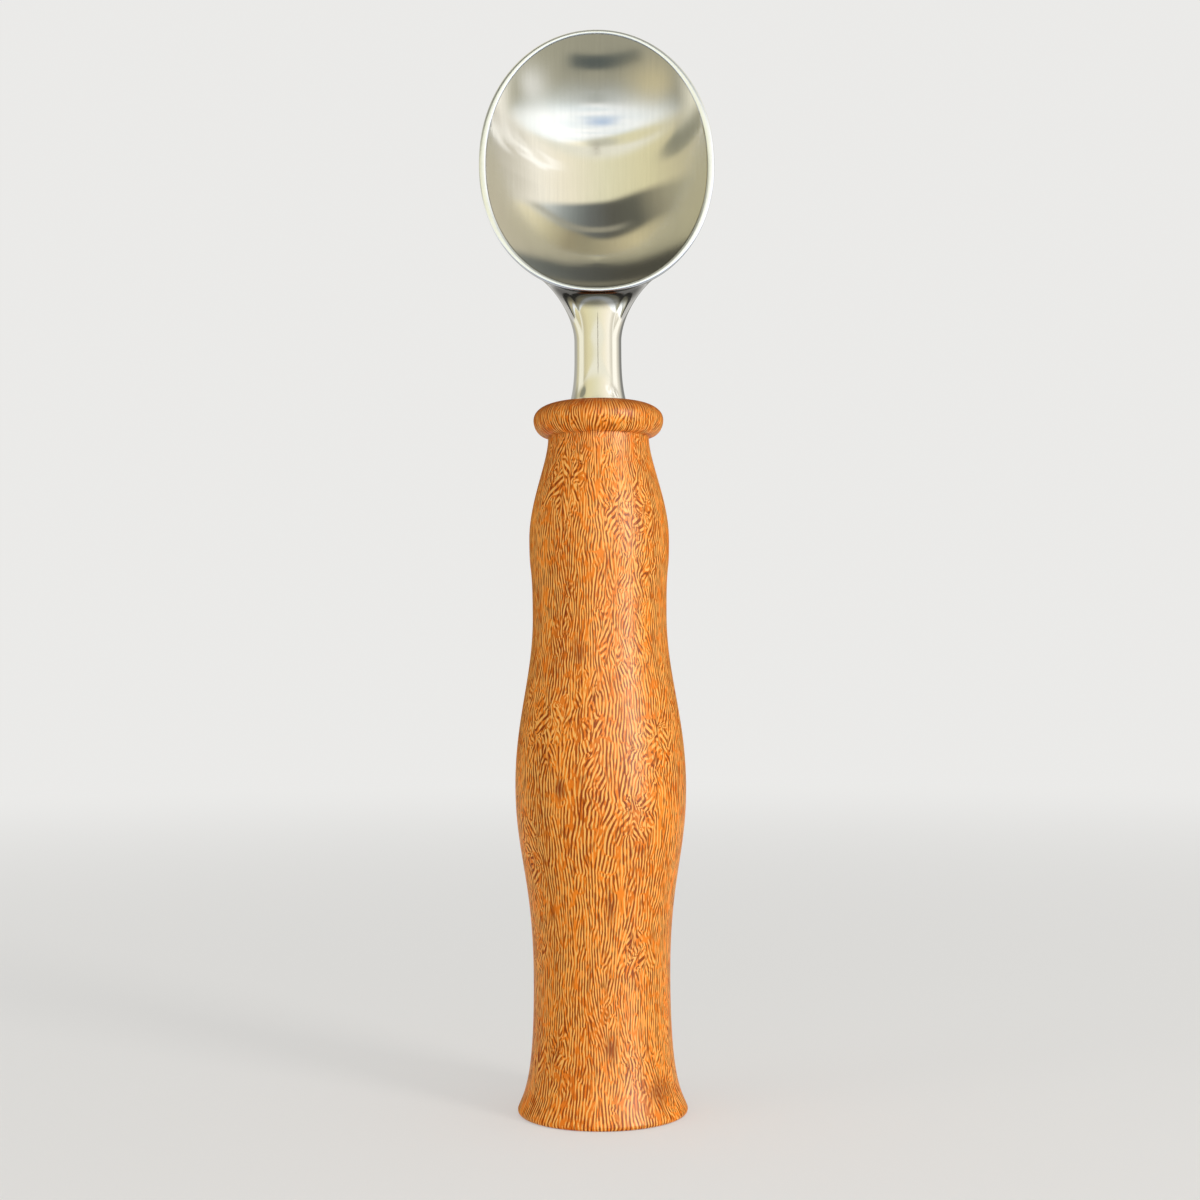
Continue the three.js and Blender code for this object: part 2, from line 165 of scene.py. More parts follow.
class HeadSizes(bpy.types.PropertyGroup):
    """Sizes of the steel head: foot, neck, fillet and bowl, and the colour of its steel."""

    bowl_width: length("Bowl width", "Width over the rim", 50.8)
    widest_to_tip: length("Widest place to tip", "From the bowl's widest place to its tip", 29.2)
    widest_to_heel: length("Widest place to heel", "From the bowl's widest place to its heel", 27.2)
    bowl_depth: length("Bowl depth", "Depth inside", 13.5)
    bowl_drop: length("Bowl drop", "How far the deepest place lies below the widest place", 2.0)
    back_wall: length("Back wall", "Wall at the back of the bowl", 2.0)
    rim_wall: length("Rim wall", "Wall at the sides of the rim", 1.5)
    rim_end_wall: length("Rim end wall", "Wall at the tip and the heel of the rim", 0.9)
    rim_round: length("Rim round", "Height of the rounded rim", 0.5)
    rim_to_axis: length("Rim to axis", "How far the rim stands in front of the neck's axis", 8.2)
    neck_diameter: length("Neck diameter", "Width of the neck", 10.3)
    neck_straight: length("Neck straight", "Straight length of the neck under the fillet", 1.3)
    foot_diameter: length("Foot diameter", "Width of the foot that stands on the handle", 12.3)
    foot_edge: length("Foot edge", "Round on the edge of the foot", 0.3)
    foot_flare: length("Foot flare", "Height over which the foot narrows to the neck", 12.0)
    fillet_length: length("Fillet length", "Length of the fillet between neck and bowl", 9.6)
    fillet_reach: length("Fillet reach", "How far the fillet spreads over the bowl", 11.5)
    hole_diameter: length("Hole diameter", "Bore for the stud", 6.5)
    hole_depth: length("Hole depth", "Depth of the bore for the stud", 12.6)
    hole_chamfer: length("Hole chamfer", "Width of the chamfer at the mouth of the bore", 0.6)
    tip_fullness: share("Tip fullness", "How square the tip is: 2 is an ellipse", 2.06)
    heel_fullness: share("Heel fullness", "How square the heel is: 2 is an ellipse", 2.15)
    fillet_neck_pull: share("Fillet neck pull", "How far the fillet runs on along the neck", 0.26)
    fillet_bowl_pull: share("Fillet bowl pull", "How far the fillet runs on along the bowl", 0.4)
    fillet_rim_share: share("Fillet rim share", "How near to the rim the fillet may land", 0.93)
    fillet_limit_power: share("Fillet limit power", "How suddenly the rim limits the fillet", 4.0)
    rim_squareness: share("Rim squareness", "How flat the rim is: 1 is a half round", 0.6)
    bowl_arc: angle("Bowl arc", "Half angle of the ball whose cap gives the inside", 32.0)
    steel: colour("Steel", "Colour that the steel reflects", 0.68, 0.67, 0.64)
    rim_steel: colour("Rim steel", "Colour that the ground rim reflects", 0.82, 0.87, 1.0)


class ScrewSizes(bpy.types.PropertyGroup):
    """Sizes of the hidden stud and insert, and the colours of their metals."""

    stud_diameter: length("Stud diameter", "Outside of the stud's thread", 6.0)
    stud_pitch: length("Stud pitch", "Climb of the stud's thread in a turn", 1.0)
    stud_depth: length("Stud thread depth", "Depth of the stud's thread", 0.6134)
    stud_length: length("Stud length", "Length of the stud", 28.0)
    stud_in_neck: length("Stud in neck", "Length of the stud that the neck holds", 12.0)
    insert_diameter: length("Insert diameter", "Outside of the insert's thread", 10.0)
    insert_pitch: length("Insert pitch", "Climb of the insert's thread in a turn", 1.5)
    insert_depth: length("Insert thread depth", "Depth of the insert's thread", 0.7)
    insert_length: length("Insert length", "Length of the insert", 15.0)
    insert_set_back: length("Insert set back", "Depth of the insert's top below the top of the handle", 0.5)
    insert_bore: length("Insert bore", "Bore for the stud", 6.5)
    slot_width: length("Slot width", "Width of the screwdriver slot", 1.6)
    slot_depth: length("Slot depth", "Depth of the screwdriver slot", 2.0)
    zinc: colour("Zinc", "Colour of the stud", 0.56, 0.565, 0.57)
    brass: colour("Brass", "Colour of the insert", 0.78, 0.56, 0.24)


class StageSettings(bpy.types.PropertyGroup):
    """Where the camera stands, and the floor and light of the studio."""

    camera_distance: length("Camera distance", "From the camera to the handle's axis", 410.0)
    camera_height: length("Camera height", "Height of the camera over the floor", 97.1)
    focal_length: share("Focal length", "Lens in millimetres on a 36 mm frame", 55.965)
    frame_rise: share("Frame rise", "Upward shift of the frame as a share of its width", 0.0583)
    camera_roll: angle("Camera roll", "Turn of the camera about its line of sight", 0.377)
    sky_light: share("Sky light", "Brightness of the even light from all round", 0.66)
    floor: colour("Floor", "Colour of the floor and the background", 0.83, 0.825, 0.81)


def bezier(controls, steps):
    """Points on a Bezier curve: at each step, every control point times its Bernstein weight, summed.

    The first point is left out, because the shape before the curve already ends there.
    """
    along = np.arange(1, steps + 1) / steps
    degree = len(controls) - 1
    controls = np.asarray(controls, dtype=float)
    along = along.reshape((-1,) + (1,) * (controls.ndim - 1))
    weights = [math.comb(degree, i) * along**i * (1 - along) ** (degree - i) for i in range(degree + 1)]
    return sum(weight * control for weight, control in zip(weights, controls))


def new_piece(name, points, faces):
    """Mesh object from an array of points and arrays of faces with three or four corners each."""
    corners = np.concatenate([group.ravel() for group in faces])
    counts = np.concatenate([np.full(len(group), group.shape[1]) for group in faces])
    starts = np.cumsum(counts) - counts
    mesh = bpy.data.meshes.new(name)
    mesh.vertices.add(len(points))
    mesh.vertices.foreach_set("co", np.ascontiguousarray(points, dtype=np.float32).ravel())
    mesh.loops.add(len(corners))
    mesh.loops.foreach_set("vertex_index", corners.astype(np.int32))
    mesh.polygons.add(len(counts))
    mesh.polygons.foreach_set("loop_start", starts.astype(np.int32))
    mesh.update(calc_edges=True)
    mesh.shade_smooth()
    mesh.set_sharp_from_angle(angle=CRISP_ANGLE)
    piece = bpy.data.objects.new(name, mesh)
    bpy.context.scene.collection.objects.link(piece)
    return piece


def ring_surface(name, first_pole, rings, last_pole):
    """Closed surface through rings of equally many points, shut by a fan of triangles at each pole."""
    rows, sides = rings.shape[:2]
    points = np.vstack([first_pole, rings.reshape(-1, 3), last_pole])
    here = 1 + np.arange(rows * sides).reshape(rows, sides)
    beside = np.roll(here, -1, axis=1)
    walls = np.stack([here[:-1], beside[:-1], beside[1:], here[1:]], axis=-1).reshape(-1, 4)
    start = np.stack([np.zeros(sides, dtype=int), beside[0], here[0]], axis=-1)
    end = np.stack([np.full(sides, len(points) - 1), here[-1], beside[-1]], axis=-1)
    return new_piece(name, points, [start, walls, end])


def turned_rings(radius, height, sides):
    """Rings about the Z axis: radius times the cosine and sine of the angle round it, at each height."""
    angle = 2 * np.pi * np.arange(sides) / sides
    radius = np.broadcast_to(np.reshape(radius, (len(radius), -1)), (len(radius), sides))
    height = np.broadcast_to(np.reshape(height, (len(height), 1)), radius.shape)
    return np.stack([radius * np.cos(angle), radius * np.sin(angle), height], axis=-1)


def handle_outline(sizes):
    """Radius and height of the turning from the middle of its base to the bottom of the insert's hole.

    Cubic curves run parallel to the axis at each wide and narrow place. A quarter ellipse rises from the
    groove to the bead, and one more cubic rolls over the bead's top to the flat under the neck.
    """
    base = sizes.base_diameter / 2
    groove = sizes.groove_diameter / 2
    bead = sizes.bead_diameter / 2
    flat = sizes.bead_flat / 2
    hole = sizes.hole_diameter / 2
    places = [
        (sizes.base_to_waist, sizes.waist_diameter / 2, sizes.waist_straight),
        (sizes.waist_to_belly, sizes.belly_diameter / 2, sizes.belly_straight),
        (sizes.belly_to_grip, sizes.grip_diameter / 2, sizes.grip_straight),
        (sizes.grip_to_shoulder, sizes.shoulder_diameter / 2, sizes.shoulder_straight),
        (sizes.shoulder_to_groove, groove, sizes.groove_straight),
    ]
    under = np.linspace(0.0, base - sizes.base_edge, 2 * EDGE_STEPS)[1:]
    runs = [np.stack([under, np.zeros_like(under)], axis=-1)]
    edge = [(under[-1], 0.0), (base + sizes.base_flare * sizes.base_edge / 2, 0.0), (base, sizes.base_edge)]
    runs.append(bezier(edge, 2 * EDGE_STEPS))
    last = (base, sizes.base_edge)
    leave = (base - sizes.base_flare * sizes.flare_straight, sizes.base_edge + sizes.flare_straight)
    height = 0.0
    for rise, radius, straight in places:
        height += rise
        here = (radius, height)
        runs.append(bezier([last, leave, (radius, height - straight), here], HANDLE_STEPS))
        last = here
        leave = (radius, height + straight)
    top = height + sizes.bead_length
    bead_height = top - sizes.bead_roll
    turn = np.pi / 2 * np.arange(1, HANDLE_STEPS + 1) / HANDLE_STEPS
    swell = groove + (bead - groove) * np.sin(turn)
    runs.append(np.stack([swell, bead_height - (bead_height - height) * np.cos(turn)], axis=-1))
    roll = [
        (bead, bead_height),
        (bead, bead_height + sizes.bead_fullness * sizes.bead_roll),
        (flat + sizes.bead_fullness * (bead - flat), top),
        (flat, top),
    ]
    runs.append(bezier(roll, HANDLE_STEPS))
    bottom = top - sizes.hole_depth
    runs.append(np.array([(hole + sizes.hole_chamfer, top), (hole, top - sizes.hole_chamfer)]))
    wall = np.linspace(top - sizes.hole_chamfer, bottom, EDGE_STEPS)[1:]
    runs.append(np.stack([np.full_like(wall, hole), wall], axis=-1))
    return np.concatenate(runs)


def swell(sizes, direction):
    """Unit directions pushed out to a slightly square ball.

    Its power runs from the heel's fullness to the tip's.
    """
    power = sizes.heel_fullness + (sizes.tip_fullness - sizes.heel_fullness) * (1 + direction[..., 2]) / 2
    total = (np.abs(direction) ** power[..., None]).sum(axis=-1)
    return direction * (total ** (-1 / power))[..., None]


def stretch(half, unit):
    """Points of that ball stretched to a bowl, with one length towards the tip and another towards the heel.

    half holds the half width, the depth, the lengths to the tip and the heel, the rim's plane and the height
    of the widest place.
    """
    width, depth, tip, heel, rim_plane, centre = half
    along = np.where(unit[..., 2] > 0, tip, heel)
    across, back, up = np.moveaxis(unit, -1, 0)
    return np.stack([width * across, rim_plane + depth * back, centre + along * up], axis=-1)


def head_rings(sizes, foot_height):
    """Rings of the head from the end of the stud's hole to the bowl's bottom, and how many each finish takes.

    Columns start round the neck and end round the rim. The back of the bowl is half of an ellipsoid, swept in
    arcs from where the neck's axis enters it. The fillet is a cubic from the neck to a point on those arcs.
    The inside is a cap of a ball, stretched to the rim's outline with its deepest place lowered, and the rim
    is a flat half round.
    """
    neck = sizes.neck_diameter / 2
    foot = sizes.foot_diameter / 2
    hole = sizes.hole_diameter / 2
    rim_plane = sizes.rim_round - sizes.rim_to_axis
    fillet_start = sizes.foot_flare + sizes.neck_straight
    centre = fillet_start + sizes.fillet_length + sizes.widest_to_heel
    width = sizes.bowl_width / 2
    depth = sizes.bowl_depth - sizes.rim_round
    tip = sizes.widest_to_tip
    heel = sizes.widest_to_heel
    outer = (width, depth + sizes.back_wall, tip, heel, rim_plane, centre)
    inner_tip = tip - sizes.rim_end_wall
    inner_heel = heel - sizes.rim_end_wall
    inner = (width - sizes.rim_wall, depth, inner_tip, inner_heel, rim_plane, centre)

    lean = math.asin(-rim_plane / outer[1])
    squeeze = math.sqrt(math.sin(lean))
    turn = 2 * np.pi * np.arange(HEAD_SIDES) / HEAD_SIDES
    neck_angle = np.arctan2(np.sin(turn), squeeze * np.cos(turn))
    rim_angle = np.arctan2(squeeze * np.sin(turn), np.cos(turn))
    rim_arc = np.arctan2(math.sin(lean), np.cos(neck_angle) * math.cos(lean))
    around = np.stack([np.sin(neck_angle), -np.cos(neck_angle), np.zeros(HEAD_SIDES)], axis=-1)
    upward = np.array([0.0, 0.0, 1.0])

    def neck_rings(profile):
        """Rings round the neck, for an array of radius and height."""
        return profile[:, :1, None] * around + profile[:, 1:, None] * upward

    def back_point(arc):
        """Points on the back of the bowl at an angle from the neck's entry, one for each column."""
        entry = np.array([0.0, math.sin(lean), -math.cos(lean)])
        forward = np.array([0.0, -math.cos(lean), -math.sin(lean)])
        sideways = np.array([1.0, 0.0, 0.0])
        heading = np.cos(neck_angle)[:, None] * forward + np.sin(neck_angle)[:, None] * sideways
        direction = np.cos(arc)[..., None] * entry + np.sin(arc)[..., None] * heading
        return stretch(outer, swell(sizes, direction))

    rim_direction = np.stack([np.sin(rim_angle), np.zeros(HEAD_SIDES), -np.cos(rim_angle)], axis=-1)
    rim_edge = swell(sizes, rim_direction)

    def inside_points(shares):
        """Rings of the inside, for shares of the way from the deepest place, 0, to the rim, 1."""
        turn = sizes.bowl_arc * shares[:, None]
        unit = rim_edge * (np.sin(turn) / math.sin(sizes.bowl_arc))[..., None]
        unit[..., 1] = (np.cos(turn) - math.cos(sizes.bowl_arc)) / (1 - math.cos(sizes.bowl_arc))
        return stretch(inner, unit) - sizes.bowl_drop * unit[..., 1:2] * upward

    hole_profile = np.array([
        (hole, sizes.hole_depth),
        (hole, sizes.hole_chamfer),
        (hole + sizes.hole_chamfer, 0.0),
        (foot - sizes.foot_edge, 0.0),
    ])
    edge_turn = np.pi / 2 * np.arange(1, EDGE_STEPS + 1) / EDGE_STEPS
    edge_radius = foot - sizes.foot_edge * (1 - np.sin(edge_turn))
    edge_profile = np.stack([edge_radius, sizes.foot_edge * (1 - np.cos(edge_turn))], axis=-1)
    flare_profile = bezier(
        [
            (foot, sizes.foot_edge),
            (neck, sizes.foot_flare / 3),
            (neck, 2 * sizes.foot_flare / 3),
            (neck, sizes.foot_flare),
        ],
        NECK_STEPS,
    )
    straight_profile = np.array([(neck, fillet_start)])
    neck_part = neck_rings(np.concatenate([hole_profile, edge_profile, flare_profile, straight_profile]))

    full_arc = (neck + sizes.fillet_reach) / width
    power = sizes.fillet_limit_power
    landing = (full_arc**-power + (sizes.fillet_rim_share * rim_arc) ** -power) ** (-1 / power)
    leave_from = neck * around + fillet_start * upward
    land_on = back_point(landing)
    ahead = back_point(landing + SMALL_ARC) - land_on
    ahead /= np.linalg.norm(ahead, axis=-1, keepdims=True)
    span = np.linalg.norm(land_on - leave_from, axis=-1, keepdims=True)
    spread = (ahead * around).sum(axis=-1, keepdims=True)
    beyond_wall = ((land_on - leave_from) * around).sum(axis=-1, keepdims=True)
    pull = sizes.fillet_bowl_pull * span
    pull = np.where(spread * pull > beyond_wall, beyond_wall / np.where(spread > 0, spread, 1.0), pull)
    fillet = bezier(
        [leave_from, leave_from + sizes.fillet_neck_pull * span * upward, land_on - pull * ahead, land_on],
        FILLET_STEPS,
    )
    back_share = np.arange(1, BACK_STEPS + 1)[:, None] / BACK_STEPS
    back = back_point(landing + back_share * (rim_arc - landing))

    rim_turn = np.pi * np.arange(1, RIM_STEPS + 1)[:, None, None] / RIM_STEPS
    outer_rim = stretch(outer, rim_edge)
    inner_rim = stretch(inner, rim_edge)
    rim = outer_rim + (inner_rim - outer_rim) * (1 - np.cos(rim_turn)) / 2
    rim[..., 1] -= sizes.rim_round * np.maximum(np.sin(rim_turn[..., 0]), 0.0) ** sizes.rim_squareness
    inside = inside_points(1 - np.arange(1, INSIDE_STEPS) / INSIDE_STEPS)

    rings = np.concatenate([neck_part, fillet, back, rim, inside]) + foot_height * upward
    counts = (len(rings) - len(rim) - len(inside), len(rim), len(inside))
    hole_end = (0.0, 0.0, foot_height + sizes.hole_depth + hole / 2)
    bowl_bottom = (0.0, rim_plane + depth, foot_height + centre - sizes.bowl_drop)
    return hole_end, rings, bowl_bottom, counts


def thread_radius(height, angle, crest, depth, pitch):
    """Radius of a right-hand thread at heights and angles: a trapezium that climbs one pitch in a turn."""
    climb = (height / pitch - angle / (2 * np.pi)) % 1.0
    flank = np.clip((np.abs(climb - 0.5) - HALF_CREST) / FLANK_RUN, 0.0, 1.0)
    return crest - depth * flank


def threaded_rings(span, crest, depth, pitch):
    """Rings of a threaded rod: the thread's radius at even heights, chamfered to the root at both ends."""
    steps = int(round(span / pitch * STEPS_PER_PITCH))
    height = np.linspace(0.0, span, steps + 1)[:, None]
    angle = 2 * np.pi * np.arange(SCREW_SIDES)[None, :] / SCREW_SIDES
    radius = thread_radius(height, angle, crest, depth, pitch)
    from_end = np.minimum(height, span - height)
    return turned_rings(np.minimum(radius, crest - depth + from_end), height, SCREW_SIDES)


def take_out(piece, cutter):
    """Cuts the cutter's shape out of a piece and removes the cutter."""
    cut = piece.modifiers.new("cut", "BOOLEAN")
    cut.operation = "DIFFERENCE"
    cut.solver = "EXACT"
    cut.object = cutter
    finished = piece.evaluated_get(bpy.context.evaluated_depsgraph_get())
    whole = piece.data
    piece.data = bpy.data.meshes.new_from_object(finished)
    piece.modifiers.clear()
    bpy.data.meshes.remove(whole)
    spent = cutter.data
    bpy.data.objects.remove(cutter)
    bpy.data.meshes.remove(spent)


def block(name, low, high):
    """Closed box between two corners."""
    corner = np.array([(x, y, z) for x in (0, 1) for y in (0, 1) for z in (0, 1)], dtype=float)
    points = np.asarray(low) + corner * (np.asarray(high) - np.asarray(low))
    faces = np.array([(0, 1, 3, 2), (4, 6, 7, 5), (0, 4, 5, 1), (2, 3, 7, 6), (0, 2, 6, 4), (1, 5, 7, 3)])
    return new_piece(name, points, [faces])


def opaque(tone):
    """A colour as four numbers with full cover, or a linked colour as it is."""
    return tone if isinstance(tone, Socket) else [*tone[:3], 1.0]


class Socket:
    """An output socket of a node tree, so that shader maths reads as Python: arithmetic adds Math nodes."""

    def __init__(self, tree, socket=None):
        self.tree = tree
        self.socket = socket

    def node(self, kind, settings=None, sockets=None, output=0):
        """Adds a node: its settings are set first, then its sockets are given values or links."""
        made = self.tree.nodes.new(kind)
        for name, value in (settings or {}).items():
            if name == "stops":
                self.set_stops(made.color_ramp, value)
            else:
                setattr(made, name, value)
        for name, value in (sockets or {}).items():
            if isinstance(value, Socket):
                self.tree.links.new(value.socket, made.inputs[name])
            else:
                made.inputs[name].default_value = value
        return Socket(self.tree, made.outputs[output]) if len(made.outputs) else None

    @staticmethod
    def set_stops(ramp, stops):
        """Gives a colour ramp its stops, each a place and a colour."""
        while len(ramp.elements) < len(stops):
            ramp.elements.new(1.0)
        for element, (place, value) in zip(ramp.elements, stops):
            element.position = place
            element.color = opaque(value)

    def maths(self, operation, first, second=0.0):
        """Adds a Math node."""
        return self.node("ShaderNodeMath", {"operation": operation}, {0: first, 1: second})

    def __add__(self, other):
        return self.maths("ADD", self, other)

    def __radd__(self, other):
        return self.maths("ADD", other, self)

    def __sub__(self, other):
        return self.maths("SUBTRACT", self, other)

    def __rsub__(self, other):
        return self.maths("SUBTRACT", other, self)

    def __mul__(self, other):
        return self.maths("MULTIPLY", self, other)

    def __rmul__(self, other):
        return self.maths("MULTIPLY", other, self)

    def smooth(self, low, high):
        """Runs smoothly from 0 at low to 1 at high."""
        ends = {"Value": self, "From Min": low, "From Max": high}
        return self.node("ShaderNodeMapRange", {"interpolation_type": "SMOOTHSTEP"}, ends)

    def vector(self, operation, second=(0.0, 0.0, 0.0), output=0):
        """Adds a Vector Math node."""
        return self.node("ShaderNodeVectorMath", {"operation": operation}, {0: self, 1: second}, output)

    def stretched(self, factors):
        """A place with each axis times its own factor."""
        return self.vector("MULTIPLY", factors)

    def moved(self, across, back, up):
        """A place moved by values along the three axes."""
        return self.vector("ADD", self.node("ShaderNodeCombineXYZ", {}, {0: across, 1: back, 2: up}))

    def size(self):
        """Length of a vector."""
        return self.vector("LENGTH", output=1)

    def along(self, axis):
        """Distance along one axis: 0 is X, 1 is Y and 2 is Z."""
        return self.node("ShaderNodeSeparateXYZ", {}, {0: self}, axis)

    def noise(self, sizes, detail=0.0, roughness=0.5):
        """Smooth noise round 0.5, whose patches at this place have the given size along each axis."""
        place = self.stretched([1 / size for size in sizes])
        sockets = {"Vector": place, "Scale": 1.0, "Detail": detail, "Roughness": roughness}
        return self.node("ShaderNodeTexNoise", {}, sockets)

    def near(self, centre, reach):
        """Runs smoothly from 1 at a point to 0 at the given reach along each axis."""
        offset = self.vector("SUBTRACT", centre)
        return offset.stretched([1 / size for size in reach]).size().smooth(1.0, 0.0)

    def ramp(self, stops):
        """A colour from stops along this value, each a place and a colour."""
        return self.node("ShaderNodeValToRGB", {"stops": stops}, {0: self})

    def tint(self, first, second):
        """A colour that runs from the first to the second as this value runs from 0 to 1."""
        settings = {"data_type": "RGBA", "blend_type": "MIX"}
        return self.node("ShaderNodeMix", settings, {0: self, 6: opaque(first), 7: opaque(second)}, 2)

    def bump(self, depth):
        """A surface normal for a relief of this height, which is the given depth deep."""
        return self.node("ShaderNodeBump", {}, {"Strength": 1.0, "Distance": depth, "Height": self})


def new_material(name):
    """A material with an empty tree, the tree as a Socket, and the place on the piece in millimetres."""
    material = bpy.data.materials.new(name)
    material.use_nodes = True
    material.node_tree.nodes.clear()
    tree = Socket(material.node_tree)
    place = tree.node("ShaderNodeTexCoord", output="Object").stretched([1 / MILLIMETRE] * 3)
    return material, tree, place


def finish_surface(material, tree, sockets):
    """Adds the material's shader, with its values and links, and its output, and returns the material."""
    shader = tree.node("ShaderNodeBsdfPrincipled", {}, sockets)
    tree.node("ShaderNodeOutputMaterial", {}, {"Surface": shader})
    return material


# Places on the handle's surface in millimetres, with their reach along each axis: curls, where the veins turn
# every way, and dark mineral stains.
WOOD_CURLS = [
    ((6.0, -12.5, 131), (11, 9, 13)),
    ((-7.0, -12.0, 139), (9, 8, 9)),
    ((-12.0, -13.5, 84), (8, 8, 12)),
    ((12.0, -13.5, 82), (9, 8, 9)),
    ((7.0, -17.0, 66), (7, 7, 7)),
    ((-14.5, -9.0, 60), (5, 7, 13)),
    ((9.0, -14.5, 36), (8, 7, 9)),
    ((8.0, 15.5, 96), (9, 9, 12)),
    ((-11.5, 13.0, 44), (9, 9, 13)),
    ((14.0, 8.0, 118), (8, 9, 12)),
]
WOOD_STAINS = [
    ((-4.3, -14.3, 101), (1.7, 4, 4.0)),
    ((-8.7, -16.6, 72), (1.6, 4, 4.5)),
    ((2.1, -16.3, 47), (1.4, 4, 6.0)),
    ((1.9, -14.9, 17), (2.2, 4, 5.0)),
    ((13.0, -11.5, 7), (6.0, 7, 4.5)),
    ((-3.0, 16.0, 88), (2.0, 4, 5.0)),
    ((6.0, 14.5, 30), (1.8, 4, 5.5)),
]

# The wood's figure in millimetres: the radius of the cylinder that the veins are laid out on, how far they
# sway, and the size of each noise's patches across, back and up.
VEIN_CYLINDER = 16
VEIN_SWAY = 2.6
SWAY_PATCH = (13, 13, 34)
RESTLESS_PATCH = (9, 9, 15)
SWING_PATCH = (2.4, 2.4, 4.0)
DASH_PATCH = (0.8, 0.8, 2.6)
PORE_PATCH = (0.40, 0.40, 3.6)
CLOUD_PATCH = (9, 9, 30)
BAND_PATCH = (3.5, 3.5, 45)

# Waves of veins: their scale and frequency, how little they change along the handle, and the number of the
# wave node's input for their direction.
VEIN_SCALE = 0.40
VEIN_FREQUENCY = 3.8
VEIN_DRAW = (1, 1, 0.42)
WAVE_DIRECTION = 5

# How far the veins swing out of line: everywhere, in restless places and in curls.
EVEN_SWING = 0.8
RESTLESS_SWING = 1.6
CURL_SWING = 3.4

# Heights in millimetres between which the top of the bead darkens: end grain, and painted shade.
END_GRAIN_AND_SHADE = (151.0, 155.0)

# Painted shade on the fillet under the rim, also rougher there: its middle in millimetres and its reach along
# each axis.
CROOK_SHADE = ((0, -6, 179.5), (16, 6.5, 5.0))

# Finishes of the metals in millimetres: cloudy patches of the steel and of its rim, long brush strokes, fine
# hairs, and the turned lines and patches of the threads.
STEEL_PATCH = (6, 6, 9)
RIM_PATCH = (2.5, 2.5, 2.5)
STROKE = (0.45, 1, 16.0)
HAIR = (0.10, 1, 9.0)
THREAD_LINE = (1, 1, 0.09)
THREAD_PATCH = (1.8, 1.8, 2.4)

# Depth of the relief of each finish, in metres.
WOOD_RELIEF = 0.00002
BRUSH_RELIEF = 0.0000032
THREAD_RELIEF = 0.000004


def wood_material(sizes):
    """Figured amber hardwood under a thin satin lacquer.

    The veins are the crests of waves that run round the handle, so they are lines along it. They are laid out
    on a cylinder of one width, so they run on over the bead. In the curls the waves turn every way. A noise
    breaks the veins into dashes, and fine pores run along them.
    """
    material, tree, place = new_material("figured_hardwood")
    height = place.along(2)
    outward = place.stretched((1, 1, 0)).vector("NORMALIZE")
    on_cylinder = outward.stretched((VEIN_CYLINDER, VEIN_CYLINDER, 0)).moved(0.0, 0.0, height)
    sway = on_cylinder.noise(SWAY_PATCH) - 0.5
    bent = on_cylinder.moved(VEIN_SWAY * sway, 0.0, 0.0)
    curl = sum(place.near(centre, reach) for centre, reach in WOOD_CURLS).smooth(0.05, 0.75)
    round_it = tree.node("ShaderNodeVectorMath", {"operation": "CROSS_PRODUCT"}, {0: (0, 0, 1), 1: outward})
    restless = on_cylinder.noise(RESTLESS_PATCH).smooth(0.48, 0.66)
    loose = EVEN_SWING + RESTLESS_SWING * restless + CURL_SWING * curl
    swing = loose * (on_cylinder.noise(SWING_PATCH) - 0.5)
    wave_sockets = {
        "Vector": bent.stretched(VEIN_DRAW),
        "Scale": VEIN_SCALE,
        "Frequency": VEIN_FREQUENCY,
        "Anisotropy": 0.95,
        WAVE_DIRECTION: round_it.moved(0.0, 0.0, 2.0 * swing),
    }
    wave = tree.node("ShaderNodeTexGabor", {"gabor_type": "3D"}, wave_sockets)
    broken = on_cylinder.noise(DASH_PATCH, 1.0)
    pale = wave.smooth(0.510, 0.555) * broken.smooth(0.32, 0.46)
    dark = wave.smooth(0.475, 0.43) * broken.smooth(0.64, 0.50)
    pores = bent.noise(PORE_PATCH, 1.0).smooth(0.60, 0.70)
    cloud = place.noise(CLOUD_PATCH, 2.0).smooth(0.36, 0.64)
    band = on_cylinder.noise(BAND_PATCH, 1.0).smooth(0.52, 0.68)
    ground = (0.35 * band).tint(cloud.tint(sizes.heart, sizes.amber), sizes.dark_vein)
    veined = (0.90 * pale).tint(ground, sizes.pale_vein)
    dashed = (0.92 * dark).tint(veined, sizes.dark_vein)
    stained = (0.60 * pores).tint(dashed, sizes.dark_vein)
    for centre, reach in WOOD_STAINS:
        mark = place.near(centre, reach) * (0.35 + 0.65 * broken.smooth(0.36, 0.56))
        stained = (0.85 * mark).tint(stained, sizes.dark_vein)
    # The bead's top is darker: partly its end grain, partly painted shade on the top.
    end_grain_and_shade = height.smooth(*END_GRAIN_AND_SHADE)
    shade = {
        "Base Color": (0.62 * end_grain_and_shade).tint(stained, sizes.dark_vein),
        "Roughness": 0.40 + 0.10 * pores + 0.05 * dark,
        "Specular IOR Level": 0.04,
        "Normal": (broken - 1.2 * pores).bump(WOOD_RELIEF),
        "Coat Weight": 0.12 - 0.05 * pores,
        "Coat Roughness": 0.40,
    }
    return finish_surface(material, tree, shade)


def darker(tone, factor):
    """A colour times a factor."""
    return [factor * channel for channel in tone[:3]]


def polished_material(sizes):
    """Polished steel of the neck and the back, faintly cloudy, rougher and with painted shade under the rim.
    """
    material, tree, place = new_material("polished_steel")
    patch = place.noise(STEEL_PATCH, 2.0)
    bright = (0.5 * patch).tint(sizes.steel, darker(sizes.steel, 0.84))
    # Painted shade: on the fillet under the rim the steel turns nearly black, and rougher.
    crook_shade = place.near(*CROOK_SHADE).smooth(0.0, 0.4)
    shade = {
        "Base Color": (0.85 * crook_shade).tint(bright, darker(sizes.steel, 0.14)),
        "Metallic": 1.0,
        "Roughness": 0.06 + 0.05 * patch + 0.10 * crook_shade,
    }
    return finish_surface(material, tree, shade)


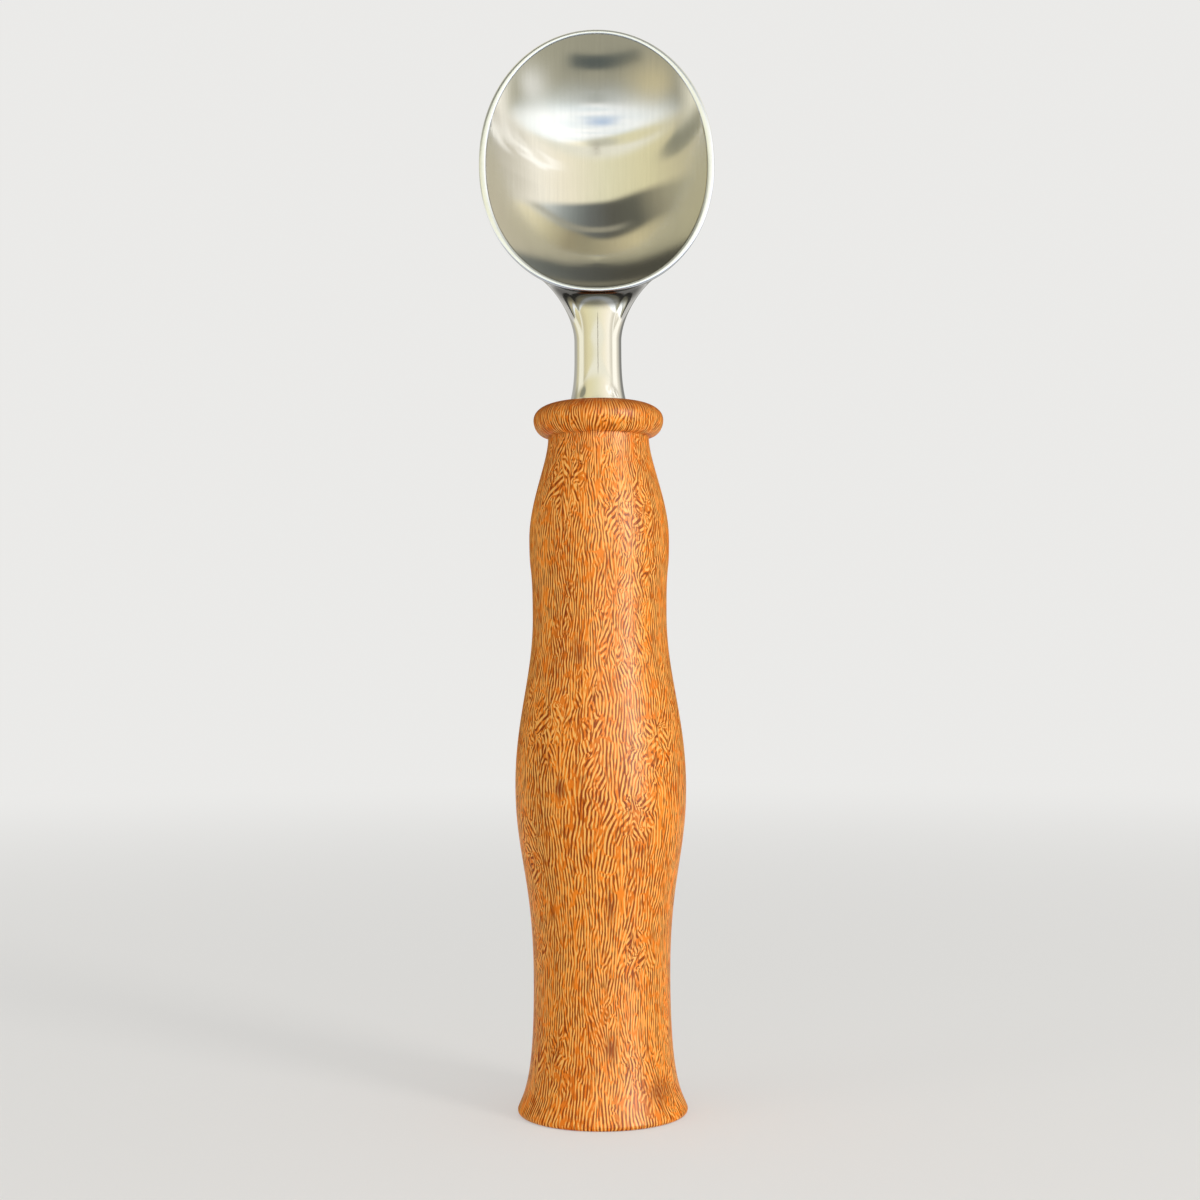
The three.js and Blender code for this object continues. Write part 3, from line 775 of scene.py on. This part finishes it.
def rim_material(sizes):
    """Bright steel of the rim, ground flat."""
    material, tree, place = new_material("rim_steel")
    patch = place.noise(RIM_PATCH, 2.0)
    shade = {
        "Base Color": (0.5 * patch).tint(sizes.rim_steel, darker(sizes.rim_steel, 0.86)),
        "Metallic": 1.0,
        "Roughness": 0.20 + 0.08 * patch,
    }
    return finish_surface(material, tree, shade)


def bowl_material(sizes):
    """Satin steel of the bowl: fine brush lines up and down it, which smear reflections sideways."""
    material, tree, place = new_material("bowl_steel")
    from_front = place.stretched((1, 0, 1))
    hairs = from_front.noise(HAIR, 2.0, 0.6)
    strokes = from_front.noise(STROKE, 1.0)
    patch = place.noise(STEEL_PATCH, 2.0)
    worn = 0.25 * patch + 0.40 * strokes + 0.45 * hairs
    shade = {
        "Base Color": worn.tint(sizes.steel, darker(sizes.steel, 0.80)),
        "Metallic": 1.0,
        "Roughness": 0.08 + 0.04 * patch + 0.04 * hairs,
        "Anisotropic": 0.92,
        "Normal": (0.5 * hairs + strokes).bump(BRUSH_RELIEF),
    }
    return finish_surface(material, tree, shade)


def thread_material(name, metal, mean_roughness):
    """Machined thread metal: fine rings round the axis, with duller and brighter patches."""
    material, tree, place = new_material(name)
    rings = place.stretched((0, 0, 1)).noise(THREAD_LINE, 2.0)
    patch = place.noise(THREAD_PATCH, 2.0)
    shade = {
        "Base Color": patch.smooth(0.40, 0.70).tint(metal, darker(metal, 0.72)),
        "Metallic": 1.0,
        "Roughness": mean_roughness - 0.10 + 0.12 * rings + 0.12 * patch,
        "Normal": rings.bump(THREAD_RELIEF),
    }
    return finish_surface(material, tree, shade)


def dress(piece, materials, body, node):
    """Gives a piece its materials and body, and lets it stand for a solid."""
    piece.data.materials.clear()
    for material in materials:
        piece.data.materials.append(material)
    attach(piece, body)
    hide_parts(node)


def handle_height():
    """Top of the handle, where the foot of the head stands."""
    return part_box("handle")[1].z


class SCOOP_OT_handle(bpy.types.Operator):
    """Builds the turned wooden handle."""

    bl_idname = "scoop.handle"
    bl_label = "Handle"

    def execute(self, context):
        sizes = context.scene.scoop_handle
        outline = handle_outline(sizes)
        rings = turned_rings(outline[:, 0], outline[:, 1], HANDLE_SIDES)
        hole_bottom = (0.0, 0.0, outline[-1, 1])
        piece = ring_surface("turned_handle", (0.0, 0.0, 0.0), rings, hole_bottom)
        dress(piece, [wood_material(sizes)], "handle", "handle")
        return {"FINISHED"}


class SCOOP_OT_head(bpy.types.Operator):
    """Builds the steel head: foot, neck and bowl in one."""

    bl_idname = "scoop.head"
    bl_label = "Head"

    def execute(self, context):
        sizes = context.scene.scoop_head
        hole_end, rings, bowl_bottom, (polished, rim, inside) = head_rings(sizes, handle_height())
        piece = ring_surface("bowl_and_neck", hole_end, rings, bowl_bottom)
        materials = [polished_material(sizes), rim_material(sizes), bowl_material(sizes)]
        dress(piece, materials, "head", "scoop_head")
        faces = HEAD_SIDES * np.array([polished, rim, inside + 1])
        piece.data.polygons.foreach_set("material_index", np.repeat(np.arange(3, dtype=np.int32), faces))
        return {"FINISHED"}


class SCOOP_OT_screw_fittings(bpy.types.Operator):
    """Builds the stud in the neck and the insert in the handle, which show when the head is unscrewed."""

    bl_idname = "scoop.screw_fittings"
    bl_label = "Screw fittings"

    def execute(self, context):
        sizes = context.scene.scoop_screw
        self.build_stud(sizes)
        self.build_insert(sizes)
        return {"FINISHED"}

    def build_stud(self, sizes):
        """A threaded rod with chamfered ends."""
        foot = handle_height() + sizes.stud_in_neck - sizes.stud_length
        crest = sizes.stud_diameter / 2
        rings = threaded_rings(sizes.stud_length, crest, sizes.stud_depth, sizes.stud_pitch)
        rings[..., 2] += foot
        ends = [(0.0, 0.0, foot), (0.0, 0.0, foot + sizes.stud_length)]
        piece = ring_surface("stud", ends[0], rings, ends[1])
        metal = thread_material("stud_zinc", sizes.zinc, mean_roughness=0.38)
        dress(piece, [metal], "stud", "threaded_stud")

    def build_insert(self, sizes):
        """A sleeve threaded outside, closed onto its own bore, with a screwdriver slot across its top."""
        top = handle_height() - sizes.insert_set_back
        foot = top - sizes.insert_length
        crest = sizes.insert_diameter / 2
        outside = threaded_rings(sizes.insert_length, crest, sizes.insert_depth, sizes.insert_pitch)
        bore = np.full(len(outside), sizes.insert_bore / 2)
        inside = turned_rings(bore, outside[::-1, 0, 2], SCREW_SIDES)
        rings = np.concatenate([outside, inside])
        rings[..., 2] += foot
        rows = len(rings)
        here = np.arange(rows * SCREW_SIDES).reshape(rows, SCREW_SIDES)
        beside = np.roll(here, -1, axis=1)
        above = np.roll(here, -1, axis=0)
        corner = np.roll(beside, -1, axis=0)
        walls = np.stack([here, beside, corner, above], axis=-1).reshape(-1, 4)
        piece = new_piece("insert", rings.reshape(-1, 3), [walls])
        half = sizes.slot_width / 2
        reach = sizes.insert_diameter
        low = (-reach, -half, top - sizes.slot_depth)
        take_out(piece, block("slot", low, (reach, half, top + sizes.slot_depth)))
        metal = thread_material("insert_brass", sizes.brass, mean_roughness=0.34)
        dress(piece, [metal], "handle", "threaded_insert")


# Lamps: name, azimuth and elevation in degrees, distance, width and height in metres, brightness, tone, and
# whether the lamp shows in gloss alone. Azimuth 0 is in front of the scoop and 90 to its right.
LAMPS = [
    ("key_lamp", 46, 8, 1.0, 0.24, 0.90, 9.5, (1.0, 0.97, 0.92), False),
    ("fill_lamp", -60, 8, 1.0, 0.40, 0.8, 1.3, (1.0, 0.93, 0.82), False),
    ("top_lamp", 20, 70, 1.1, 0.9, 0.9, 0.4, (1.0, 0.99, 0.97), False),
    ("sheen_lamp", 48, 8, 1.0, 0.40, 0.90, 33.0, (1.0, 0.97, 0.92), True),
    ("front_sheen_lamp", 8, 8, 1.0, 0.70, 0.90, 7.0, (1.0, 0.98, 0.95), True),
]

# Colours of the metal's surroundings, each with its place from left, 0, to right, 1: the wall in front, the
# ceiling above it, and the pale slope at the ceiling's far edge.
CREAM_WALL = [
    (0.00, (0.50, 0.46, 0.31)),
    (0.06, (0.60, 0.55, 0.35)),
    (0.14, (0.70, 0.65, 0.41)),
    (0.44, (0.74, 0.71, 0.51)),
    (0.75, (0.89, 0.83, 0.67)),
    (0.90, (0.94, 0.90, 0.79)),
    (1.00, (0.48, 0.45, 0.37)),
]
CEILING = [
    (0.00, (0.42, 0.40, 0.27)),
    (0.10, (0.28, 0.26, 0.18)),
    (0.20, (0.115, 0.115, 0.09)),
    (0.40, (0.10, 0.098, 0.08)),
    (0.55, (0.14, 0.148, 0.14)),
    (0.66, (0.21, 0.23, 0.22)),
    (0.76, (0.32, 0.35, 0.34)),
    (0.86, (0.64, 0.67, 0.65)),
    (0.96, (0.78, 0.74, 0.61)),
]
SLOPE = [
    (0.05, (0.27, 0.255, 0.175)),
    (0.15, (0.52, 0.47, 0.29)),
    (0.28, (0.60, 0.53, 0.32)),
    (0.40, (0.46, 0.41, 0.26)),
    (0.55, (0.30, 0.275, 0.18)),
    (0.68, (0.33, 0.29, 0.185)),
    (0.80, (0.56, 0.51, 0.33)),
    (0.93, (0.88, 0.80, 0.56)),
]

# Brightness of those surroundings, what the card on the floor gains to its right, and the height in
# millimetres that they are centred on, which is the middle of the bowl.
TENT_GLOW = 1.55
CARD_GAIN = 0.35
BOWL_HEIGHT = 205.0

# Sheets that hold them, in metres and degrees, with the number of points each way.
TENT_RADIUS = 1.4
TENT_FOOT = -8
TENT_POINTS = (73, 21)
SCREEN_RADIUS = 0.110
SCREEN_FOOT = 0.155
SCREEN_TOP = 0.236
SCREEN_HALF_TURN = 125
SCREEN_POINTS = (51, 9)
CARD_HALF_WIDTH = 1.4
CARD_BACK = 0.02
CARD_HEIGHT = 0.001
CARD_POINTS = (9, 9)

# Half width of the floor in metres, the distances in millimetres over which it fades into the background, and
# how much of it is background at the scoop.
FLOOR_HALF_WIDTH = 4.0
FLOOR_FADE = (40, 1200)
FLOOR_GLOW = 0.45


def soft_box(name, azimuth, elevation, distance, width, height, brightness, tone, gloss_only):
    """A flat rectangular lamp aimed at the middle of the scoop, which shines on the wood and the floor.

    Brightness is the radiance of its face, where 1 looks white.
    """
    turn = math.radians(azimuth)
    rise = math.radians(elevation)
    level = math.cos(rise)
    away = Vector((math.sin(turn) * level, -math.cos(turn) * level, math.sin(rise)))
    lamp = bpy.data.lights.new(name, "AREA")
    lamp.shape = "RECTANGLE"
    lamp.size = width
    lamp.size_y = height
    lamp.energy = brightness * math.pi * width * height
    lamp.color = tone
    holder = bpy.data.objects.new(name, lamp)
    holder.location = (solid_box[0] + solid_box[1]) / 2 + distance * away
    holder.rotation_mode = "QUATERNION"
    holder.rotation_quaternion = away.to_track_quat("Z", "Y")
    holder.visible_camera = False
    holder.visible_diffuse = not gloss_only
    bpy.context.scene.collection.objects.link(holder)
    shine_on(holder, ["turned_handle", "floor"])


def shine_on(light, names):
    """Lets a lamp or a glowing sheet reach these pieces alone."""
    lit = bpy.data.collections.new(light.name + "_reach")
    for name in names:
        lit.objects.link(bpy.data.objects[name])
    light.light_linking.receiver_collection = lit


class SCOOP_OT_stage(bpy.types.Operator):
    """Sets the camera, the pale floor and the soft studio light."""

    bl_idname = "scoop.stage"
    bl_label = "Stage"

    def execute(self, context):
        settings = context.scene.scoop_stage
        context.scene.view_settings.view_transform = "Standard"
        self.set_camera(context.scene, settings)
        self.lay_floor(settings)
        self.light_world(context.scene, settings)
        for lamp in LAMPS:
            soft_box(*lamp)
        self.hang_tent()
        self.stand_screen()
        self.lay_mirror_card()
        return {"FINISHED"}

    def from_bowl(self, place):
        """Direction of a place as the bowl sees it."""
        return place.moved(0.0, 0.0, -BOWL_HEIGHT).vector("NORMALIZE")

    def across(self, heading, stops):
        """A colour of the surroundings from stops between the far left and the far right."""
        return (0.5 + 0.5 * heading.along(0)).ramp(stops)

    def hang_tent(self):
        """Cloth that only shows in the metal: cream in front, dark above with a pale slope, and grey behind.

        It is part of a sphere: its radius times the cosines and sines of azimuth and elevation.
        """
        round_it = np.radians(np.linspace(-180, 180, TENT_POINTS[0]))
        upward = np.radians(np.linspace(TENT_FOOT, 90, TENT_POINTS[1]))
        azimuth, elevation = np.meshgrid(round_it, upward)
        level = TENT_RADIUS * np.cos(elevation)
        rise = BOWL_HEIGHT * MILLIMETRE + TENT_RADIUS * np.sin(elevation)
        points = np.stack([level * np.sin(azimuth), -level * np.cos(azimuth), rise], axis=-1)
        tent = self.open_sheet("tent", points)
        material, tree, place = new_material("tent_cloth")
        heading = self.from_bowl(place)
        right = heading.along(0)
        up = heading.along(2)
        arc = up + 0.53 * (right * right)
        rail = arc.smooth(0.74, 0.78) * arc.smooth(0.83, 0.80) * right.smooth(-0.55, -0.25)
        railed = (0.8 * rail).tint(self.across(heading, CEILING), (0.36, 0.34, 0.26))
        far_edge = (arc + 0.05 * right.smooth(-0.1, 0.3)).smooth(0.86, 0.91)
        roof = far_edge.tint(railed, self.across(heading, SLOPE))
        hem = 0.27 + 0.16 * right.smooth(-0.9, 0.1)
        front = (up - hem).smooth(-0.045, 0.05).tint(self.across(heading, CREAM_WALL), roof)
        behind = right.smooth(-0.5, 0.5).tint((0.36, 0.355, 0.33), (0.20, 0.20, 0.19))
        cloth = heading.along(1).smooth(0.25, 0.75).tint(front, behind)
        self.glow_in_gloss(tent, material, tree, cloth, TENT_GLOW)

    def stand_screen(self):
        """A curved screen that only shows in the metal, so that the neck and its foot stay bright.

        It is part of a cylinder round the neck. In front it has the wall's colours and is clear below, so the
        bowl sees past it, and it fades out behind.
        """
        round_it = np.radians(np.linspace(-SCREEN_HALF_TURN, SCREEN_HALF_TURN, SCREEN_POINTS[0]))
        azimuth, rise = np.meshgrid(round_it, np.linspace(SCREEN_FOOT, SCREEN_TOP, SCREEN_POINTS[1]))
        points = np.stack([np.sin(azimuth), -np.cos(azimuth), rise / SCREEN_RADIUS], axis=-1)
        screen = self.open_sheet("screen", SCREEN_RADIUS * points)
        material, tree, place = new_material("screen_paper")
        back = place.along(1)
        height = place.along(2)
        heading = self.from_bowl(place)
        right = heading.along(0)
        side = back.smooth(-46, -22)
        lamps = right.smooth(-0.2, 0.2).tint((0.84, 0.82, 0.68), (1.0, 0.97, 0.88))
        wall = height.smooth(202, 190).tint(self.across(heading, CREAM_WALL), (0.80, 0.785, 0.67))
        streaks = place.stretched((0.04, 0.04, 1)).noise((1, 1, 5.0)).smooth(0.46, 0.58)
        gleam = streaks * right.smooth(0.45, 0.75) * height.smooth(203, 209) * height.smooth(227, 220)
        gleaming = gleam.tint(wall, (1.16, 1.14, 1.08))
        window = place.near((-104, -34, 212), (26, 48, 14)).smooth(0.0, 0.5)
        windowed = window.tint(gleaming, (0.24, 0.24, 0.18))
        paper = (side * height.smooth(206, 197)).tint(windowed, lamps)
        post = place.near((0, -110, 186), (3.5, 9, 12)).smooth(0.0, 0.5)
        posted = post.tint(paper, (0.16, 0.13, 0.10))
        above = (height - 14 * (right * right)).smooth(182, 186)
        cover = side.maths("MAXIMUM", side, above.maths("MAXIMUM", above, post)) * back.smooth(42, 8)
        self.glow_in_gloss(screen, material, tree, posted, TENT_GLOW, cover)

    def lay_mirror_card(self):
        """A card on the floor that only shows in the metal: painted shade at the scoop, then tan, then cool
        white, then cream.
        """
        beside = np.linspace(-CARD_HALF_WIDTH, CARD_HALF_WIDTH, CARD_POINTS[0])
        across, back = np.meshgrid(beside, np.linspace(-CARD_HALF_WIDTH, CARD_BACK, CARD_POINTS[1]))
        points = np.stack([across, back, np.full_like(across, CARD_HEIGHT)], axis=-1)
        card = self.open_sheet("mirror_card", points)
        material, tree, place = new_material("mirror_card_paper")
        ahead = -1.0 * place.along(1)
        sideways = place.along(0)
        bowed = ahead + 0.0012 * (sideways * sideways)
        # Painted shade: next to the scoop the card is nearly black, for the floor in the scoop's shade.
        crook_shade = ahead.smooth(80, 108).tint((0.06, 0.06, 0.055), (0.33, 0.32, 0.245))
        tan = ahead.smooth(190, 290).tint(crook_shade, (0.43, 0.455, 0.43))
        reach = place.near((-38, -170, 0), (175, 90, 90)).smooth(0.0, 0.35)
        # Painted shadow: a dark lens on the card in front of the scoop, seen in the bowl.
        lens = bowed.smooth(155, 164) * bowed.smooth(194, 184) * reach
        foot = lens.tint(tan, (0.09, 0.105, 0.10))
        gold = place.near((-300, -205, 0), (270, 110, 90)).tint(foot, (0.59, 0.52, 0.32))
        pale = place.near((345, -195, 0), (190, 95, 90)).tint(gold, (0.66, 0.66, 0.63))
        streaks = place.noise((700, 26, 90), 2.0).smooth(0.42, 0.58)
        cool = streaks.tint((0.76, 0.84, 0.88), (1.04, 1.04, 1.03))
        blue = place.near((-40, -410, 0), (190, 70, 90)).tint(cool, (0.44, 0.56, 0.76))
        white = ahead.smooth(290, 308).tint(pale, blue)
        beyond = (ahead - 0.3 * sideways).smooth(570, 680)
        cream = beyond.tint(white, self.across(self.from_bowl(place), CREAM_WALL))
        patch = place.near((-70, -760, 0), (300, 230, 90)).smooth(0.0, 0.6)
        greyed = (0.8 * patch).tint(cream, (0.48, 0.48, 0.40))
        self.glow_in_gloss(card, material, tree, greyed, TENT_GLOW + CARD_GAIN * sideways.smooth(0, 300))

    def open_sheet(self, name, points):
        """Sheet through a grid of points."""
        rows, columns = points.shape[:2]
        here = np.arange(rows * columns).reshape(rows, columns)
        quads = np.stack([here[:-1, :-1], here[:-1, 1:], here[1:, 1:], here[1:, :-1]], axis=-1)
        return new_piece(name, points.reshape(-1, 3), [quads.reshape(-1, 4)])

    def glow_in_gloss(self, sheet, material, tree, tone, brightness, cover=1.0):
        """Makes a sheet glow in a tone, seen in the metal alone, and clear where its cover is 0."""
        glow = tree.node("ShaderNodeEmission", {}, {"Color": tone, "Strength": brightness})
        clear = tree.node("ShaderNodeBsdfTransparent")
        surface = tree.node("ShaderNodeMixShader", {}, {0: cover, 1: clear, 2: glow})
        tree.node("ShaderNodeOutputMaterial", {}, {"Surface": surface})
        sheet.data.materials.append(material)
        sheet.visible_camera = False
        sheet.visible_diffuse = False
        sheet.visible_transmission = False
        sheet.visible_shadow = False
        shine_on(sheet, ["bowl_and_neck", "stud", "insert"])

    def set_camera(self, scene, settings):
        """A level camera in front of the scoop, with its frame raised."""
        lens = bpy.data.cameras.new("camera")
        lens.sensor_width = FRAME_WIDTH
        lens.lens = settings.focal_length
        lens.shift_y = settings.frame_rise
        camera = bpy.data.objects.new("camera", lens)
        camera.location = (0.0, -settings.camera_distance, settings.camera_height)
        camera.rotation_euler = (math.pi / 2, settings.camera_roll, 0.0)
        scene.collection.objects.link(camera)
        scene.camera = camera

    def lay_floor(self, settings):
        """A wide floor that fades into the background, so no horizon shows."""
        corners = np.array([(-1, -1, 0), (1, -1, 0), (1, 1, 0), (-1, 1, 0)])
        floor = new_piece("floor", FLOOR_HALF_WIDTH * corners, [np.array([(0, 1, 2, 3)])])
        material, tree, place = new_material("floor_paper")
        away = place.stretched((1, 1, 0)).size()
        paper = tree.node("ShaderNodeBsdfDiffuse", {}, {"Color": settings.floor})
        glow = tree.node("ShaderNodeEmission", {}, {"Color": settings.floor, "Strength": 1.0})
        seen = self.seen_directly(tree)
        fade = (FLOOR_GLOW + (1 - FLOOR_GLOW) * away.smooth(*FLOOR_FADE)) * seen
        surface = tree.node("ShaderNodeMixShader", {}, {0: fade, 1: paper, 2: glow})
        tree.node("ShaderNodeOutputMaterial", {}, {"Surface": surface})
        floor.data.materials.append(material)

    def seen_directly(self, tree):
        """1 for what the camera sees, also in metal, and 0 for light that falls on a surface."""
        camera = tree.node("ShaderNodeLightPath", output="Is Camera Ray")
        mirror = tree.node("ShaderNodeLightPath", output="Is Glossy Ray")
        glass = tree.node("ShaderNodeLightPath", output="Is Transmission Ray")
        return camera.maths("MINIMUM", camera + mirror + glass, 1.0)

    def light_world(self, scene, settings):
        """Even soft light from all round, with the floor's colour as the background."""
        world = bpy.data.worlds.new("studio")
        world.use_nodes = True
        world.node_tree.nodes.clear()
        tree = Socket(world.node_tree)
        seen = self.seen_directly(tree)
        strength = seen.maths("MAXIMUM", seen, settings.sky_light)
        sky = tree.node("ShaderNodeBackground", {}, {"Color": settings.floor, "Strength": strength})
        tree.node("ShaderNodeOutputWorld", {}, {"Surface": sky})
        scene.world = world


class SCOOP_PT_sidebar(bpy.types.Panel):
    """Lists the pieces of the scoop with their sizes and colours."""

    bl_idname = "SCOOP_PT_sidebar"
    bl_label = "Ice cream scoop"
    bl_space_type = "VIEW_3D"
    bl_region_type = "UI"
    bl_category = "Scoop"

    def draw(self, context):
        for operator, group in STEPS:
            box = self.layout.box()
            box.operator(operator.bl_idname)
            settings = getattr(context.scene, group)
            for name in settings.__annotations__:
                box.prop(settings, name)


GROUPS = {
    "scoop_handle": HandleSizes,
    "scoop_head": HeadSizes,
    "scoop_screw": ScrewSizes,
    "scoop_stage": StageSettings,
}
STEPS = [
    (SCOOP_OT_handle, "scoop_handle"),
    (SCOOP_OT_head, "scoop_head"),
    (SCOOP_OT_screw_fittings, "scoop_screw"),
    (SCOOP_OT_stage, "scoop_stage"),
]


def register():
    for name, group in GROUPS.items():
        bpy.utils.register_class(group)
        setattr(bpy.types.Scene, name, bpy.props.PointerProperty(type=group))
    for operator, _ in STEPS:
        bpy.utils.register_class(operator)
    bpy.utils.register_class(SCOOP_PT_sidebar)


def unregister():
    bpy.utils.unregister_class(SCOOP_PT_sidebar)
    for operator, _ in reversed(STEPS):
        bpy.utils.unregister_class(operator)
    for name, group in reversed(GROUPS.items()):
        delattr(bpy.types.Scene, name)
        bpy.utils.unregister_class(group)


def main():
    register()
    bpy.ops.scoop.handle()
    bpy.ops.scoop.head()
    bpy.ops.scoop.screw_fittings()
    bpy.ops.scoop.stage()


if __name__ == "__main__":
    main()
